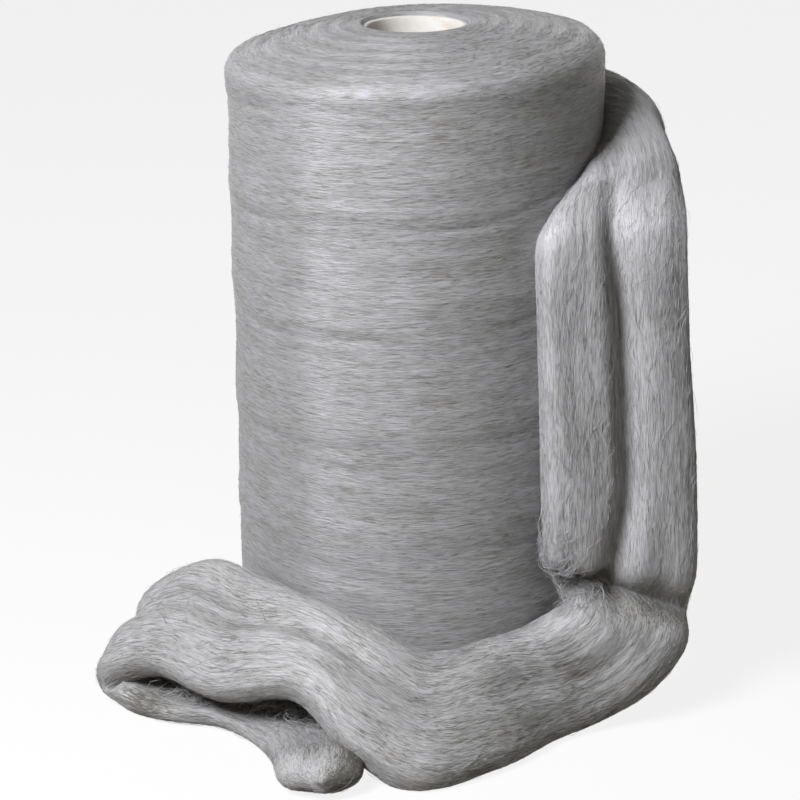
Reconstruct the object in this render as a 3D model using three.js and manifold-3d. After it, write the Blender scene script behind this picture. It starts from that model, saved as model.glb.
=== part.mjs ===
// Steel wool roll: one long ribbon of steel wool, traverse-wound in lapped bands on a card core.
// The roll stands on its end. The ribbon's loose end leaves the roll high on its right side, falls to
// the floor, runs round the front of the base and is folded back under itself on the left.
// Millimetres, +Z up, the front looks along -Y. The origin is the middle of the footprint, on the floor.
import * as THREE from 'three';
import { mergeVertices } from 'three/addons/utils/BufferGeometryUtils.js';
import Module from 'manifold-3d';

// Wound roll
const ROLL_RADIUS = 110;
const ROLL_HEIGHT = 400;
const SHOULDER_DROP = 11; // the end is crowned: its outer edge lies this far below the core's rim
const SHOULDER_RADIUS = 12;
const FOOT_RADIUS = 5;
const END_SLANT = 4; // the crowned end is this much higher on the right and lower on the left

// Lapped bands on the side and turns on the crowned end
const BAND_PITCH = 65.5; // rise of the wound ribbon in one turn
const BAND_SWAY = 6; // the laps dip this far below their mean rise at the front and back
const BAND_SWAY_ANGLE = 80; // degrees round from +X to the deepest dip
const BAND_LAP = 1.8; // a band's lower edge stands proud of its upper edge by this
const FURROW_DEPTH = 1.4;
const FURROW_HALF_WIDTH = 6.5;
const TURN_THICKNESS = 12.5; // radial growth of the roll in one turn, as the end shows it
const TURN_RELIEF = 0.6;

// Card core
const CORE_OUTER_RADIUS = 31;
const CORE_WALL = 3.5;
const CORE_CLEARANCE = 0.3;
const CORE_RECESS = 2; // the core ends this far inside the wool at each end

// Loose ribbon
const RIBBON_WIDTH = 98;
const RIBBON_THICKNESS = 27;
const RIBBON_FULLNESS = 3; // 2 makes its section an ellipse, and more makes it squarer
const CREASE_HALF_WIDTH = 9; // of the lengthwise crease that parts the ribbon into two lobes
const LOCK_PITCH = 31; // spacing of the lengthwise locks of fibre
const LOCK_RELIEF = 1;
const LOCK_SWAY = 0.3; // share of the pitch by which the locks wander from side to side
const LOCK_SWAY_ROWS = 5.3; // rows of the route from one bend of the locks to the next
const LUMP_ROWS = 1.7; // rows of the route from one lump to the next
const LUMP_SKEW = 3.1; // radians by which the lumps lag from the ribbon's middle to its edge
const LUMP_RELIEF = 0.8;

// Mesh fineness
const ROLL_SIDES = 44;
const SIDE_ROWS = 38;
const END_ROWS = 13;
const ARC_STEPS = 3;
const RIBBON_SIDES = 26;
const RIBBON_GATHER = 1.4; // 1 spaces them as on a circle, and more draws them to the middle
const STEPS_PER_STATION = 4;
const WELD = 1e-3; // points nearer than this are one point

// Heights on the loose ribbon's route: on its fall, 0 at the foot and 1 at the head, and above and below
// it, counted in ribbon widths
const FALL_FOOT = 100; // height at which the falling ribbon starts to turn along the floor
const FALL_DROP = 106; // depth below the roll's top at which it hangs free and full width
const fallAt = (share) => THREE.MathUtils.lerp(FALL_FOOT, ROLL_HEIGHT - FALL_DROP, share);
const belowTop = (widths) => ROLL_HEIGHT - widths * RIBBON_WIDTH;
const aboveFloor = (widths) => widths * RIBBON_WIDTH;

// The loose ribbon's route: where its middle is, which way it spreads from its inner edge to its outer
// edge, its width and thickness there as shares of the ribbon's own, and its crease: how far from the
// middle it lies, towards the outer edge, and how deep it is, as shares of the half width and thickness.
// [azimuth from +X towards the front, stand-off from the roll in thicknesses, height, spread direction,
//  width, thickness, crease place, crease depth]
const RIBBON_ROUTE = [
  // still wound, coming out of the roll's back
  [-115, -0.67, belowTop(0.8), [0, 0, 1], 0.85, 0.7, 0, 0],
  [-72, -0.26, belowTop(0.78), [0, 0, 1], 0.84, 0.75, 0, 0],
  [-38, 0.04, belowTop(0.74), [0, 0, 1], 0.74, 0.85, 0, 0],
  [-10, 0.3, belowTop(0.71), [0.2, 0, 1], 0.62, 1, 0, 0],
  // gathered where it leaves the roll, then spreading as it falls
  [11, 0.48, belowTop(0.76), [0.74, 0.36, 0.45], 0.58, 1.1, -0.1, 0],
  [25, 0.67, belowTop(0.9), [0.87, 0.42, 0.02], 0.78, 1.1, -0.15, 0.1],
  [35, 0.89, fallAt(1), [0.94, 0.34, -0.02], 0.89, 1.1, -0.08, 0.5],
  [37, 1.07, fallAt(0.7), [0.975, 0.22, 0], 0.88, 1.1, 0.08, 0.75],
  [37, 1.26, fallAt(0.26), [0.977, 0.21, 0], 0.91, 1.1, 0.07, 0.75],
  [37, 1.33, fallAt(0), [0.97, 0.2, -0.16], 0.92, 1.05, -0.12, 0.7],
  // tucked in across, then swelling as it turns along the floor
  [35, 1.22, aboveFloor(0.816), [0.9, 0.14, -0.42], 0.91, 0.45, -0.3, 0.4],
  [37, 1.52, aboveFloor(0.622), [0.89, 0.17, -0.43], 0.8, 1.2, -0.2, 0.1],
  [42, 1.3, aboveFloor(0.48), [0.8, 0.15, -0.59], 0.82, 1.3, 0, 0.1],
  [50, 0.81, aboveFloor(0.337), [0.63, 0.04, -0.78], 0.76, 1.25, 0, 0.15],
  [62, 0.59, aboveFloor(0.276), [0.5, -0.22, -0.83], 0.72, 1.25, 0, 0.15],
  // round the front, leaning on the roll
  [78, 1.04, aboveFloor(0.245), [0.28, -0.71, -0.64], 0.78, 1.35, -0.1, 0.15],
  [91, 1.44, aboveFloor(0.255), [0, -0.84, -0.54], 0.92, 1.35, -0.15, 0.2],
  [104, 1.3, aboveFloor(0.429), [-0.1, -0.82, -0.5], 0.87, 1.2, -0.2, 0.25],
  [119, 1.04, aboveFloor(0.592), [-0.16, -0.88, -0.4], 0.7, 1.1, -0.2, 0.35],
  [138, 1.19, aboveFloor(0.551), [-0.42, -0.66, -0.62], 0.82, 1.1, -0.2, 0.5],
  [155, 1.7, aboveFloor(0.561), [-0.5, -0.56, -0.66], 0.79, 1.15, -0.2, 0.55],
  // folded under on the left and back along the floor to the cut end
  [164, 2.56, aboveFloor(0.327), [-0.52, -0.62, -0.58], 0.7, 1.0, -0.15, 0.4],
  [160, 2.26, aboveFloor(0.092), [-0.7, -0.7, -0.08], 0.58, 0.62, 0, 0.3],
  [147, 1.63, aboveFloor(0.071), [-0.81, -0.58, 0], 0.56, 0.52, 0, 0.25],
  [134, 1.07, aboveFloor(0.071), [-0.95, -0.31, 0], 0.52, 0.52, 0, 0.25],
  [122, 1.22, aboveFloor(0.071), [-0.95, -0.3, 0], 0.54, 0.54, 0, 0.2],
  [113, 1.93, aboveFloor(0.092), [-0.96, -0.28, 0], 0.52, 0.7, 0, 0.2],
  [108, 2.93, aboveFloor(0.122), [-1, 0.05, 0], 0.52, 0.9, 0, 0.2],
  [107, 3.41, aboveFloor(0.112), [-1, 0.05, 0], 0.47, 0.8, 0, 0],
  [106, 3.59, aboveFloor(0.102), [-1, 0.05, 0], 0.3, 0.55, 0, 0],
];

const wasm = await Module();
wasm.setup();

// A closed three.js geometry as a solid for joining and cutting.
function solidFrom(geometry) {
  const bare = geometry.clone();
  bare.deleteAttribute('normal');
  bare.deleteAttribute('uv');
  const merged = mergeVertices(bare, WELD);
  return new wasm.Manifold(new wasm.Mesh({
    numProp: 3,
    vertProperties: merged.attributes.position.array,
    triVerts: new Uint32Array(merged.index.array),
  }));
}

// The solid's surface as a three.js geometry.
function geometryFrom(solid) {
  const mesh = solid.getMesh();
  const geometry = new THREE.BufferGeometry();
  geometry.setAttribute('position', new THREE.BufferAttribute(mesh.vertProperties, mesh.numProp));
  geometry.setIndex(new THREE.BufferAttribute(mesh.triVerts, 1));
  geometry.computeVertexNormals();
  return geometry;
}

// Points of a round edge about a centre, from one angle to another, in degrees.
function arcPoints(centreX, centreY, radius, fromAngle, toAngle) {
  const points = [];
  for (let step = 0; step <= ARC_STEPS; step++) {
    const angle = THREE.MathUtils.degToRad(fromAngle + ((toAngle - fromAngle) * step) / ARC_STEPS);
    points.push(new THREE.Vector2(centreX + radius * Math.cos(angle), centreY + radius * Math.sin(angle)));
  }
  return points;
}

// Turns a profile of (radius, height) points about the Z axis.
function turned(profile) {
  return new THREE.LatheGeometry(profile, ROLL_SIDES).rotateX(Math.PI / 2);
}

// How far the side stands out at a place: lapped bands climb the roll as a helix, with a furrow
// where each one laps the next.
function bandRelief(turnsRound, height) {
  const sway = BAND_SWAY * Math.cos(4 * Math.PI * turnsRound + THREE.MathUtils.degToRad(2 * BAND_SWAY_ANGLE));
  const bands = (height + sway) / BAND_PITCH - turnsRound;
  const share = bands - Math.floor(bands);
  const toFurrow = Math.min(share, 1 - share) * BAND_PITCH;
  const furrow = FURROW_DEPTH * Math.exp(-((toFurrow / FURROW_HALF_WIDTH) ** 2));
  return BAND_LAP * (0.5 - share) * Math.min(1, toFurrow / FURROW_HALF_WIDTH) - furrow;
}

// How far the crowned end rises at a place: the turns show as one spiral ridge.
function turnRelief(turnsRound, radius) {
  return TURN_RELIEF * Math.cos(2 * Math.PI * (radius / TURN_THICKNESS - turnsRound));
}

// The wound wool as one solid: a turned body with a bore, then the bands and turns raised on it.
function woundRoll() {
  const bore = CORE_OUTER_RADIUS + CORE_CLEARANCE;
  const shoulder = ROLL_HEIGHT - SHOULDER_DROP - SHOULDER_RADIUS;
  const crownRadius = ROLL_RADIUS - SHOULDER_RADIUS;
  const profile = [new THREE.Vector2(bore, 0)];
  profile.push(...arcPoints(ROLL_RADIUS - FOOT_RADIUS, FOOT_RADIUS, FOOT_RADIUS, -90, 0));
  for (let row = 1; row < SIDE_ROWS; row++) {
    const height = THREE.MathUtils.lerp(FOOT_RADIUS, shoulder, row / SIDE_ROWS);
    profile.push(new THREE.Vector2(ROLL_RADIUS, height));
  }
  profile.push(...arcPoints(crownRadius, shoulder, SHOULDER_RADIUS, 0, 90));
  for (let row = 1; row <= END_ROWS; row++) {
    const radius = THREE.MathUtils.lerp(crownRadius, bore, row / END_ROWS);
    const fall = SHOULDER_DROP * ((radius - bore) / (crownRadius - bore)) ** 2;
    profile.push(new THREE.Vector2(radius, ROLL_HEIGHT - fall));
  }
  profile.push(new THREE.Vector2(bore, 0));

  const geometry = turned(profile);
  const position = geometry.attributes.position;
  const point = new THREE.Vector3();
  for (let i = 0; i < position.count; i++) {
    point.fromBufferAttribute(position, i);
    const angle = Math.atan2(point.y, point.x);
    const turnsRound = angle / (2 * Math.PI);
    const radius = Math.hypot(point.x, point.y);
    const onSide = THREE.MathUtils.smoothstep(radius, crownRadius, ROLL_RADIUS)
      * THREE.MathUtils.smoothstep(point.z, 0, FOOT_RADIUS);
    const onEnd = THREE.MathUtils.smoothstep(radius, bore, bore + TURN_THICKNESS)
      * THREE.MathUtils.smoothstep(point.z, shoulder, shoulder + SHOULDER_RADIUS);
    const slant = END_SLANT * Math.cos(angle) * THREE.MathUtils.smoothstep(point.z, shoulder / 2, shoulder)
      * THREE.MathUtils.smoothstep(radius, bore, crownRadius);
    const grown = 1 + (onSide * bandRelief(turnsRound, point.z)) / radius;
    position.setXYZ(i, point.x * grown, point.y * grown,
      point.z + slant + onEnd * turnRelief(turnsRound, radius));
  }
  return solidFrom(geometry);
}

// The ribbon's cross-section: [place across the width, height off its middle], both from -1 to 1.
// A flat round-edged pad.
function ribbonSection() {
  const section = [];
  for (let side = 0; side < RIBBON_SIDES; side++) {
    const angle = (2 * Math.PI * side) / RIBBON_SIDES;
    const across = Math.sign(Math.cos(angle)) * Math.abs(Math.cos(angle)) ** RIBBON_GATHER;
    const full = Math.max(0, 1 - Math.abs(across) ** RIBBON_FULLNESS) ** (1 / RIBBON_FULLNESS);
    section.push([across, Math.sign(Math.sin(angle)) * full]);
  }
  return section;
}

// How far the ribbon's faces swell: locks of fibre run along it and wander, and low lumps cross it.
// The place across is from the middle, and the row is a place along the route.
function lockRelief(across, row) {
  const sway = LOCK_SWAY * Math.sin((2 * Math.PI * row) / LOCK_SWAY_ROWS);
  const locks = Math.cos(2 * Math.PI * (across / LOCK_PITCH + sway));
  const lumps = Math.cos((2 * Math.PI * row) / LUMP_ROWS - (LUMP_SKEW * across) / (RIBBON_WIDTH / 2));
  return LOCK_RELIEF * locks + LUMP_RELIEF * lumps;
}

// The loose ribbon as one solid: its section carried along the route, parted by its crease.
function looseRibbon() {
  const middles = [];
  const spreads = [];
  const sizes = [];
  const creases = [];
  for (const [azimuth, standOff, height, spread, width, thickness, place, depth] of RIBBON_ROUTE) {
    const angle = THREE.MathUtils.degToRad(azimuth);
    const reach = ROLL_RADIUS + standOff * RIBBON_THICKNESS;
    const halfWidth = (width * RIBBON_WIDTH) / 2;
    const halfThickness = (thickness * RIBBON_THICKNESS) / 2;
    middles.push(new THREE.Vector3(reach * Math.cos(angle), -reach * Math.sin(angle), height));
    spreads.push(new THREE.Vector3(...spread).normalize());
    sizes.push(new THREE.Vector3(halfWidth, halfThickness, 0));
    creases.push(new THREE.Vector3(place * halfWidth, depth * halfThickness, 0));
  }
  const route = new THREE.CatmullRomCurve3(middles);
  const spreadCurve = new THREE.CatmullRomCurve3(spreads);
  const sizeCurve = new THREE.CatmullRomCurve3(sizes);
  const creaseCurve = new THREE.CatmullRomCurve3(creases);
  const section = ribbonSection();
  const lastRow = RIBBON_ROUTE.length - 1;
  const rings = lastRow * STEPS_PER_STATION;
  const positions = [];
  for (let ring = 0; ring <= rings; ring++) {
    const share = ring / rings;
    const middle = route.getPoint(share);
    const spread = spreadCurve.getPoint(share).normalize();
    const face = spread.clone().cross(route.getTangent(share)).normalize();
    const size = sizeCurve.getPoint(share);
    const crease = creaseCurve.getPoint(share);
    for (const [place, full] of section) {
      const across = place * size.x;
      const parting = crease.y * Math.exp(-(((across - crease.x) / CREASE_HALF_WIDTH) ** 2));
      const off = full * (size.y - parting + lockRelief(across, share * lastRow));
      const point = middle.clone();
      point.addScaledVector(spread, across);
      point.addScaledVector(face, off);
      positions.push(point.x, point.y, point.z);
    }
  }
  positions.push(...route.getPoint(0).toArray(), ...route.getPoint(1).toArray());

  const index = [];
  const first = (rings + 1) * RIBBON_SIDES;
  for (let side = 0; side < RIBBON_SIDES; side++) {
    const next = (side + 1) % RIBBON_SIDES;
    for (let ring = 0; ring < rings; ring++) {
      const a = ring * RIBBON_SIDES + side;
      const b = ring * RIBBON_SIDES + next;
      index.push(a, b + RIBBON_SIDES, b, a, a + RIBBON_SIDES, b + RIBBON_SIDES);
    }
    index.push(first, side, next);
    index.push(first + 1, rings * RIBBON_SIDES + next, rings * RIBBON_SIDES + side);
  }
  const geometry = new THREE.BufferGeometry();
  geometry.setAttribute('position', new THREE.Float32BufferAttribute(positions, 3));
  geometry.setIndex(index);
  return solidFrom(geometry);
}

// Everything below the floor that the roll stands on, well past the loose ribbon on every side.
function floorBlock() {
  const reach = 6 * (ROLL_RADIUS + RIBBON_WIDTH);
  return solidFrom(new THREE.BoxGeometry(reach, reach, ROLL_HEIGHT).translate(0, 0, -ROLL_HEIGHT / 2));
}

// The card tube that the ribbon is wound on, a little shorter than the roll.
function coreTube() {
  const inner = CORE_OUTER_RADIUS - CORE_WALL;
  const foot = CORE_RECESS;
  const head = ROLL_HEIGHT - CORE_RECESS;
  return turned([
    new THREE.Vector2(inner, foot),
    new THREE.Vector2(CORE_OUTER_RADIUS, foot),
    new THREE.Vector2(CORE_OUTER_RADIUS, head),
    new THREE.Vector2(inner, head),
    new THREE.Vector2(inner, foot),
  ]);
}

const woolMaterial = new THREE.MeshStandardMaterial({ color: 0x9c9c9b, roughness: 0.62, metalness: 0.55 });
const cardMaterial = new THREE.MeshStandardMaterial({ color: 0xe2dccd, roughness: 0.9, metalness: 0 });

const wool = woundRoll().add(looseRibbon()).subtract(floorBlock());

const woolRoll = new THREE.Mesh(geometryFrom(wool), woolMaterial);
woolRoll.name = 'wool_roll';
const cardCore = new THREE.Mesh(coreTube(), cardMaterial);
cardCore.name = 'card_core';

const onAxis = new THREE.Group();
onAxis.add(woolRoll, cardCore);
const footprint = new THREE.Box3().setFromObject(onAxis);
onAxis.position.set(-(footprint.min.x + footprint.max.x) / 2, -(footprint.min.y + footprint.max.y) / 2, 0);

const part = new THREE.Group();
part.add(onAxis);
export default part;
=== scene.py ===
"""Steel wool roll: a ribbon of steel wool wound on a card core, standing, with its loose end on the floor.

Every length is in metres, unless a name ends in _MM. +Z is up, and the front looks along -Y.
"""

import math
from collections import namedtuple

import bpy
import numpy as np
from mathutils import Matrix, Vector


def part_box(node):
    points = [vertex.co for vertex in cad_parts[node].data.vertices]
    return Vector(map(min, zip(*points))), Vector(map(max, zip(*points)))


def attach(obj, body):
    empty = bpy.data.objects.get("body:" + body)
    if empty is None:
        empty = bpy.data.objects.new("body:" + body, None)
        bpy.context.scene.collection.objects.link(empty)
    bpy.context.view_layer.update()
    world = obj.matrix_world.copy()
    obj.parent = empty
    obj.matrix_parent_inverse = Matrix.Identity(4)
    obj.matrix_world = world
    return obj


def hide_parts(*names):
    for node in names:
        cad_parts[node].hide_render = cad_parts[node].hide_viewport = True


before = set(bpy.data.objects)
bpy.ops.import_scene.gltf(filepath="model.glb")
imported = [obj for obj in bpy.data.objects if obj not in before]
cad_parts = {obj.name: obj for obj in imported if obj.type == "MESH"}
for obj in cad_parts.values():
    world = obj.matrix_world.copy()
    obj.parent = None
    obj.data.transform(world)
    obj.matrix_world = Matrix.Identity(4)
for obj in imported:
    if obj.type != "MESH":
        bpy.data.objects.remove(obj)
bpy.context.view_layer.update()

# The roll's place and sizes, from model.glb where it gives them
core_low, core_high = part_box("card_core")
AXIS = np.array([(core_low.x + core_high.x) / 2, (core_low.y + core_high.y) / 2, 0.0])
CORE_RADIUS = (core_high.x - core_low.x) / 2
CORE_FOOT = core_low.z
CORE_HEAD = core_high.z
ROLL_HEIGHT = CORE_HEAD + CORE_FOOT
ROLL_RADIUS = 0.110
CORE_WALL = 0.0035
CORE_CLEARANCE = 0.0003
BORE_RADIUS = CORE_RADIUS + CORE_CLEARANCE
SHOULDER_DROP = 0.011
SHOULDER_RADIUS = 0.012
SHOULDER_FOOT = ROLL_HEIGHT - SHOULDER_DROP - SHOULDER_RADIUS
CROWN_RADIUS = ROLL_RADIUS - SHOULDER_RADIUS
FOOT_RADIUS = 0.005
END_SLANT = 0.004  # the upper end is this much higher at its right edge and lower at its left

# Lapped bands on the side and turns on the crowned end
BAND_PITCH = 0.0655
BAND_SWAY = 0.006
BAND_SWAY_ANGLE = math.radians(80)
BAND_LAP = 0.0013
LAP_EASE = 0.011  # a lap's step fades out over this on either side
LAP_WANDER = 0.003  # a lap strays up and down by this
WANDER_LENGTH = 0.03
FURROW_DEPTH = 0.0005
FURROW_HALF_WIDTH = 0.003
FURROW_SHARE = 0.5  # a furrow's usual share of its depth, to which the wander is added
FURROW_MOST = 1.6
TURN_THICKNESS = 0.0125
TURN_RELIEF = 0.0006

# Loose ribbon. Rows are places along its route, counted from its first row
RIBBON_WIDTH_MM = 98
RIBBON_THICKNESS_MM = 27
RIBBON_FULLNESS = 3
FALL_FULLNESS = 3  # so much fuller and flatter where it falls
FALL_STARTS = (5, 7)
FALL_ENDS = (9, 10)
END_ROUNDNESS = 0.8  # so much rounder towards its cut end
END_STARTS = (24, 28)
END_RUN_MM = 16  # length over which the cut end is rounded off
END_BLUNTNESS = 0.9
CREASE_HALF_WIDTH = 0.008
LOCK_PITCH = 0.031
LOCK_RELIEF = 0.0005
LOCK_SWAY = 0.3  # share of the pitch by which the locks wander from side to side
LOCK_SWAY_ROWS = 5.3
LUMP_ROWS = 1.7
LUMP_SKEW = 3.1  # radians by which the lumps lag from the ribbon's middle to its edge
LUMP_RELIEF = 0.0005
FALL_FOOT_MM = 100
FALL_DROP_MM = 106
MM = 0.001

# Fibre lay: how long and how wide the streaks of the wool are, and its small relief as (height, shares of
# the lay)
STREAK_LENGTH = 0.009
STREAK_WIDTH = 0.0006
ROLL_TUFTS = (0.0002, [0.4, 0.4, 0.15])
ROLL_FINE_TUFTS = (0.00008, [0.8, 0.8, 0.45])
RIBBON_TUFTS = (0.00025, [0.25, 0.15, 0.15])
RIBBON_FINE_TUFTS = (0.0001, [0.6, 0.45, 0.45])
SWELL_RELIEF = 0.0004
SWELL_LENGTHS = [0.06, 0.06, 0.02]
RIPPLE_WAVES = 28
FLOOR_CLEARANCE = 0.0004

# Painted shade on the ribbon's wool: darker colour where shade falls, in its crease, in the tuck across it,
# along the floor, in the turn under and in the groove by its cut end
CREASE_PAINTED_SHADE = 0.05
TUCK_PAINTED_SHADE = 0.6
TUCK_ROW = 10.5
TUCK_ROWS = 0.5
RUN_PAINTED_SHADE = 0.3
RUN_STARTS = (10.5, 13)
TURN_PAINTED_SHADE = 0.4
TURN_ROW = 22.5
TURN_ROWS = 0.6
GROOVE_PAINTED_SHADE = 0.7
GROOVE_STARTS = (23, 24.5)
GROOVE_ACROSS = (0.1, 0.9)
# How far the painted shade lowers the tone of the wool and of the fibres on it
PAINTED_SHADE_DEPTH = 0.6

# Mesh fineness
ROLL_COLUMNS = 320
SIDE_ROWS = 214
END_ROWS = 46
ARC_ROWS = 9
BASE_ROWS = 4
ROUTE_SAMPLES = 4000
RIBBON_RINGS = 440
END_RINGS = 24
RIBBON_SIDES = 208
RIBBON_GATHER = 1.2  # 1 spaces its sides as on a circle, and more draws them to the middle
CAP_STRIP = 0.04  # share of the ribbon's map that its two ends take
CAP_RADIUS = 0.4  # of an end's disc on the map, as a share of that strip
CAP_MIDDLES = (0.25, 0.75)
STRAND_SIDES = 3
CORE_COLUMNS = 96
CORE_ROWS = 98
RIM_ROWS = 9

# Fibres that lie on the wool. knots: points along a strand; length and radius: least and most; slope:
# usual lean to the grain; lift: how far the middle arches off; stray: share with one end standing off;
# curl: size of its waves
Lay = namedtuple("Lay", "count knots length radius slope lift stray curl")
SIDE_LAY = Lay(30000, 3, (0.004, 0.014), (0.00004, 0.00009), 0.09, 0.0003, 0.02, 0.0)
END_LAY = Lay(7000, 3, (0.004, 0.012), (0.00004, 0.00009), 0.09, 0.0003, 0.02, 0.0)
RIBBON_LAY = Lay(23500, 3, (0.006, 0.020), (0.00004, 0.0001), 0.11, 0.0003, 0.03, 0.0)
CURL_LAY = Lay(1200, 8, (0.012, 0.03), (0.00006, 0.0001), 0.4, 0.0012, 0.4, 0.0016)
TUCK_LAY = Lay(600, 8, (0.012, 0.03), (0.00008, 0.00014), 0.6, 0.005, 0.6, 0.0045)
MOUTH_LAY = Lay(800, 8, (0.010, 0.022), (0.00009, 0.00016), 0.8, 0.010, 0.3, 0.004)
STRAND_WAVES = (0.6, 1.6)
STRAY_LIFT = 0.006
STRAY_START = -0.2  # where a stray end leaves the surface, from -0.5 at a strand's start to 0.5 at its end
BOW_CENTRE = 0.3  # taken off a bow, so that it lies to both sides of the strand's line
ARCH_DIP = 5  # 4 would end an arch on the surface, and more sinks its ends
BARE_ROWS = 2  # rows by the roll's base and by its bore that carry no fibres
LEAST_TONE = 0.25
CELL_MARGIN = 0.08  # share of a strand's cell of the map left free on each side

# A strand's own shares of its lay's curl, of its lift and of the stray lift, least and most
CURL_SHARES = (0.2, 1.0)
LIFT_SHARES = (0.1, 1.0)
STRAY_SHARES = (0.2, 1.0)

# Tangles: where the ribbon is tucked across, along its inner edge, and in the mouth of the fold
TANGLE_ROW = 9.9
TANGLE_ROWS = 0.7
TANGLE_EDGE = (0.6, 1.0)
MOUTH_ROW = 23.4
MOUTH_ROWS = 1.3
MOUTH_STARTS = (22.3, 22.8)
MOUTH_UPWARD = (0.6, 0.95)
MOUTH_INSIDE = (-0.7, 0.1)

# Seeds of the random draws
WANDER_SEED = 11
ROLL_TUFT_SEED = 12
SWELL_SEED = 14
RIBBON_TUFT_SEED = 21
FIBRE_SEEDS = {
    "side_fibres": 31,
    "end_fibres": 32,
    "fall_fibres": 33,
    "run_fibres": 34,
    "ribbon_curls": 35,
    "tuck_tangle": 36,
    "mouth_tangle": 37,
}

# Card core
RIM_ROUND = 0.0009
SEAM_PITCH = 0.085  # rise of the lining's spiral seam in one turn
SEAM_DEPTH = 0.00035
SEAM_HALF_WIDTH = 0.02  # as a share of the pitch
SEAM_LINE = 0.03  # half width of its darker line, as a share of the pitch

# Colours, as linear shares: the gaps or the darkest fibres, the middle shade and the brightest. The loose
# ribbon's fibres have the shades of its wool
WOUND_SHADES = [(0.265, 0.26, 0.23), (0.375, 0.375, 0.375), (0.485, 0.485, 0.515)]
# Lighter than the wound wool, partly for its looser wool and partly as painted light on the hanging stretch
LOOSE_SHADES = [(0.405, 0.40, 0.38), (0.54, 0.54, 0.545), (0.67, 0.67, 0.70)]
WOUND_FIBRE_SHADES = [(0.275, 0.27, 0.24), (0.37, 0.37, 0.37), (0.47, 0.47, 0.50)]
# Colour of the deepest painted shade, at the dark end of the wool's and the fibres' tone
PAINTED_SHADE_COLOUR = (0.155, 0.15, 0.125)
CARD_SHADES = [(0.64, 0.59, 0.51), (0.71, 0.69, 0.64), (0.75, 0.74, 0.72)]

# Noise of the finishes. span: the part of its values that is spread over 0 to 1
Grain = namedtuple("Grain", "scale detail roughness span")
FINE_STREAKS = Grain(1.1, 4.0, 0.7, (0.33, 0.67))
LOCK_STREAKS = Grain(0.23, 2.0, 0.5, (0.32, 0.68))
WOOL_PATCHES = Grain(38.0, 3.0, 0.5, (0.3, 0.7))
FIBRE_PATCHES = Grain(60.0, 3.0, 0.5, (0.3, 0.7))
CARD_FIBRE = Grain(900.0, 4.0, 0.6, (0.3, 0.7))
CARD_STAINS = Grain(45.0, 3.0, 0.5, (0.35, 0.7))

# Looks of the wool: what its tone and its bump are made of, where its shades lie on the tone, and its sheen
FINE_SHARE = 0.68
LOCK_SHARE = 0.18
PATCH_SHARE = 0.14
FINE_BUMP = 0.7
LOCK_BUMP = 0.3
WOOL_STOPS = (0.0, 0.2, 0.5, 0.9)
WOOL_BUMP = 0.0005
WOOL_BUMP_STRENGTH = 0.6
WOOL_ROUGHNESS = (0.46, 0.34)
ROUGHNESS_TONES = (0.1, 0.9)
WOOL_SPECULAR = 0.1
WOOL_SHEEN_STRETCH = 0.8
WOUND_SHEEN_TURN = 0.25
LOOSE_SHEEN_TURN = 0.0
WOUND_METALLIC = 0.25
LOOSE_METALLIC = 0.12
FIBRE_OWN_SHARE = 0.75
FIBRE_PATCH_SHARE = 0.25
FIBRE_STOPS = (0.0, 0.3, 0.6, 1.0)
FIBRE_ROUGHNESS = (0.5, 0.34)
FIBRE_METALLIC = 0.06
FIBRE_SPECULAR = 0.15

# Looks of the card
CARD_FIBRE_SHARE = 0.45
CARD_STAIN_SHARE = 0.55
CARD_SEAM_SHARE = 0.5
CARD_STOPS = (0.0, 0.5, 1.0)
CARD_ROUGHNESS = (0.82, 0.95)
CARD_BUMP = 0.0002
CARD_BUMP_STRENGTH = 0.35

# Light, floor and camera. Angles are in degrees
AMBIENT_LIGHT = (0.046, 0.042, 0.028)
WHITE = (1.0, 1.0, 1.0)
FLOOR_SIZE = 12.0
FLOOR_GLOW = 0.86  # share of the floor, where it is seen, that is white by itself
FLOOR_ROUGHNESS = 0.9
FLOOR_PALE = (0.9, 0.9, 0.9)
FLOOR_BOUNCE = (0.09, 0.08, 0.05)
KEY_PLACE = (-0.70, -0.83, 1.14)
KEY_AIM = (0.0, 0.0, 0.2)
KEY_SIZE = 0.5
KEY_WATTS = 27.8
KEY_TINT = (1.0, 1.0, 1.06)
CAMERA_DISTANCE = 1.531
CAMERA_HEIGHT = 0.698
CAMERA_TILT = 19.08
CAMERA_TURN = 0.43
CAMERA_LEAN = 0.75
CAMERA_LENS = 120.1
SENSOR_WIDTH = 36.0


def fall_at(share):
    """Height in millimetres on the hanging stretch, 0 at its foot and 1 at its head."""
    return FALL_FOOT_MM + share * (ROLL_HEIGHT / MM - FALL_DROP_MM - FALL_FOOT_MM)


def below_top(widths):
    """Height in millimetres that lies so many ribbon widths below the roll's top."""
    return ROLL_HEIGHT / MM - widths * RIBBON_WIDTH_MM


def above_floor(widths):
    """Height in millimetres that lies so many ribbon widths above the floor."""
    return widths * RIBBON_WIDTH_MM


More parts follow.
